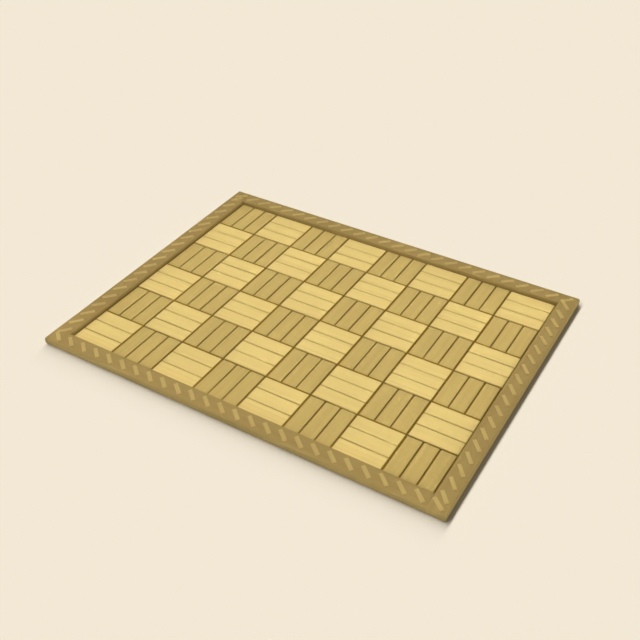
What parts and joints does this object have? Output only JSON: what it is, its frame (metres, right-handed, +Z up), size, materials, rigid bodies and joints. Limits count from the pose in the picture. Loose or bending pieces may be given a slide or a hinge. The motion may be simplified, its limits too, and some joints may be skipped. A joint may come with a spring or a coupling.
{
  "type": "rush mat",
  "caption": "Flat rectangular rush mat, basket woven in square blocks of light and darker strands, with a thicker border sewn on with slanted stitches.",
  "frame": {"origin": "middle of the underside, on the floor", "axes": "+X along the long side, +Y towards the back, +Z up out of the woven face"},
  "size_m": [0.7846, 0.6046, 0.0163],
  "materials": {
    "light_rush": "dry flattened rush strands, pale straw, low sheen",
    "dark_rush": "dry flattened rush strands, darker straw, low sheen",
    "border_rush": "darker olive brown rush strip, low sheen",
    "stitch_rush": "split rush sewing, a little lighter than the border"
  },
  "bodies": {
    "root": {"panel": "light_rush", "border_front": "border_rush", "border_back": "border_rush", "border_left": "border_rush", "border_right": "border_rush"}
  },
  "joints": []
}
